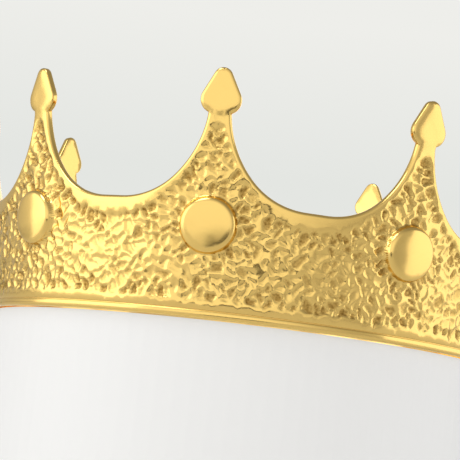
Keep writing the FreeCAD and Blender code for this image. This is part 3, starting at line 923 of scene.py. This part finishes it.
def camera_matrix(studio):
    """From low down and looking a little up, with the small pan, tilt and roll of the view."""
    rise = studio.camera_rise
    forward = Vector((0, math.cos(rise), math.sin(rise)))
    right = Vector((1, 0, 0))
    up = right.cross(forward)
    forward, right = turned(forward, right, studio.camera_pan)
    forward, up = turned(forward, up, studio.camera_tilt)
    right, up = turned(right, up, studio.camera_roll)
    turn = Matrix.Rotation(studio.camera_azimuth, 3, "Z")
    axes = Matrix((turn @ right, turn @ up, turn @ -forward)).transposed()
    axis = Vector((0, Ring(bpy.context.scene.crown_form).axis * MM, 0))
    place = axis + turn @ Vector((0, -studio.camera_distance, studio.camera_height))
    return Matrix.Translation(place) @ axes.to_4x4()


class CROWN_OT_studio(bpy.types.Operator):
    """Set up the floor, plinth, mat, lamps, room and camera"""

    bl_idname = "crown.studio"
    bl_label = "Studio"

    def execute(self, context):
        scene = context.scene
        studio = scene.studio_settings
        drop = studio.floor_drop
        corners = [
            (side * FLOOR_REACH, end, -drop)
            for side, end in ((-1, FLOOR_FRONT), (1, FLOOR_FRONT), (1, FLOOR_REACH), (-1, FLOOR_REACH))
        ]
        floor = mesh_object("floor", corners, [(0, 1, 2), (0, 2, 3)])
        floor.data.materials.append(pale_surface("white_acrylic_floor", studio.pale, SHEET_ROUGHNESS))
        count = PLINTH_SIDES
        wall = Ring(scene.crown_form)
        reach = wall.radius * MM - studio.plinth_inset
        turns = np.linspace(0, 2 * math.pi, count, endpoint=False)
        round_plan = np.stack([reach * np.sin(turns), wall.axis * MM - reach * np.cos(turns)], -1)
        top = np.column_stack([round_plan, np.zeros(count)])
        foot = np.column_stack([round_plan, np.full(count, -drop)])
        places = np.concatenate([top, foot])
        sides = [(n, n + count, (n + 1) % count) for n in range(count)]
        sides += [((n + 1) % count, n + count, (n + 1) % count + count) for n in range(count)]
        lid = [(0, n, n + 1) for n in range(1, count - 1)]
        plinth = mesh_object("plinth", places, sides + lid)
        plinth.data.polygons.foreach_set("use_smooth", np.zeros(len(plinth.data.polygons), bool))
        # The plinth carries painted light: a glow that lightens its shading for the camera.
        plinth.data.materials.append(
            pale_surface("white_acrylic_plinth", studio.pale, SHEET_ROUGHNESS, PLINTH_PAINTED_LIGHT)
        )
        mat = mesh_object(
            "dark_mat", [(*corner, MM - drop) for corner in MAT_CORNERS], [(0, 1, 2), (0, 2, 3)]
        )
        mat.data.materials.append(pale_surface("grey_table_mat", linear(MAT_TINT), MAT_ROUGHNESS))
        # The mat lies behind the camera, and only reflections show it.
        mat.visible_camera = False
        self.lights()
        self.sky(scene)
        camera = bpy.data.cameras.new("view")
        camera.lens = studio.camera_lens
        camera.clip_start = 0.01
        made = bpy.data.objects.new("view", camera)
        made.matrix_world = camera_matrix(studio)
        scene.collection.objects.link(made)
        scene.camera = made
        scene.view_settings.view_transform = "Standard"
        return {"FINISHED"}

    @staticmethod
    def lights():
        """Wide soft panels round the crown, and a small bright one high up."""
        for name, bearing, away, size, glow in PANELS:
            heading = math.radians(bearing)
            lift = size[1] / 2 + PANEL_FOOT
            place = (away * math.sin(heading), -away * math.cos(heading), lift)
            lamp(name, place, (0, 0, lift), size, glow)
        lamp(*HIGH_PANEL)

    @staticmethod
    def sky(scene):
        """A pale backdrop for the camera. Reflections see a bright wall, and a dimmer room."""
        world = bpy.data.worlds.new("pale_room")
        world.use_nodes = True
        tree = world.node_tree
        tree.nodes.clear()
        direction = add_node(tree, "ShaderNodeTexCoord")
        split = add_node(tree, "ShaderNodeSeparateXYZ", links={"Vector": direction.outputs["Generated"]})
        to_left = add_node(
            tree, "ShaderNodeMath", {"operation": "MULTIPLY", 1: BRIGHT_WALL[0]}, {0: split.outputs["X"]}
        )
        towards = add_node(
            tree, "ShaderNodeMath", {"operation": "MULTIPLY_ADD", 1: BRIGHT_WALL[1]},
            {0: split.outputs["Y"], 2: to_left.outputs["Value"]},
        )
        ahead = add_node(
            tree, "ShaderNodeMapRange",
            {"interpolation_type": "SMOOTHSTEP", "From Min": 0.0, "From Max": BRIGHT_FULL,
             "To Min": WALL_LIGHT[0], "To Max": WALL_LIGHT[1]},
            {"Value": towards.outputs["Value"]},
        )
        ceiling = add_node(
            tree, "ShaderNodeMapRange",
            {"From Min": CEILING_FROM[0], "From Max": CEILING_FROM[1],
             "To Min": 1.0, "To Max": CEILING_SHARE},
            {"Value": split.outputs["Z"]},
        )
        strength = add_node(
            tree, "ShaderNodeMath", {"operation": "MULTIPLY"},
            {0: ahead.outputs["Result"], 1: ceiling.outputs["Result"]},
        )
        room = add_node(
            tree, "ShaderNodeBackground", {"Color": linear(ROOM_TINT)},
            {"Strength": strength.outputs["Value"]},
        )
        haze = add_node(
            tree, "ShaderNodeMapRange", {"From Min": HAZE[0], "From Max": HAZE[1]},
            {"Value": split.outputs["Z"]},
        )
        backdrop = add_node(tree, "ShaderNodeMix", {"data_type": "RGBA"}, {"Factor": haze.outputs["Result"]})
        for socket, value in zip("AB", BACKDROP_TINTS):
            named_colour(backdrop.inputs, socket).default_value = linear(value)
        seen = add_node(
            tree, "ShaderNodeBackground", {"Strength": 1.0},
            {"Color": named_colour(backdrop.outputs, "Result")},
        )
        path = add_node(tree, "ShaderNodeLightPath")
        mix = add_node(
            tree, "ShaderNodeMixShader", links={
                "Fac": path.outputs["Is Camera Ray"], 1: room.outputs["Background"],
                2: seen.outputs["Background"],
            },
        )
        add_node(tree, "ShaderNodeOutputWorld", links={"Surface": mix.outputs["Shader"]})
        scene.world = world


class CROWN_PT_panel(bpy.types.Panel):
    """Lists the crown's operators"""

    bl_label = "Crown"
    bl_idname = "CROWN_PT_panel"
    bl_space_type = "VIEW_3D"
    bl_region_type = "UI"
    bl_category = "Crown"

    def draw(self, context):
        for operator in (CROWN_OT_casting, CROWN_OT_studio):
            self.layout.operator(operator.bl_idname)


GROUPS = {
    "crown_form": CrownForm,
    "hammer_marks": HammerMarks,
    "gold_finish": GoldFinish,
    "studio_settings": StudioSettings,
}
CLASSES = (*GROUPS.values(), CROWN_OT_casting, CROWN_OT_studio, CROWN_PT_panel)


def register():
    for item in CLASSES:
        bpy.utils.register_class(item)
    for name, group in GROUPS.items():
        setattr(bpy.types.Scene, name, bpy.props.PointerProperty(type=group))


def unregister():
    for name in GROUPS:
        delattr(bpy.types.Scene, name)
    for item in reversed(CLASSES):
        bpy.utils.unregister_class(item)


def main():
    register()
    bpy.ops.crown.studio()
    bpy.ops.crown.casting()


if __name__ == "__main__":
    main()
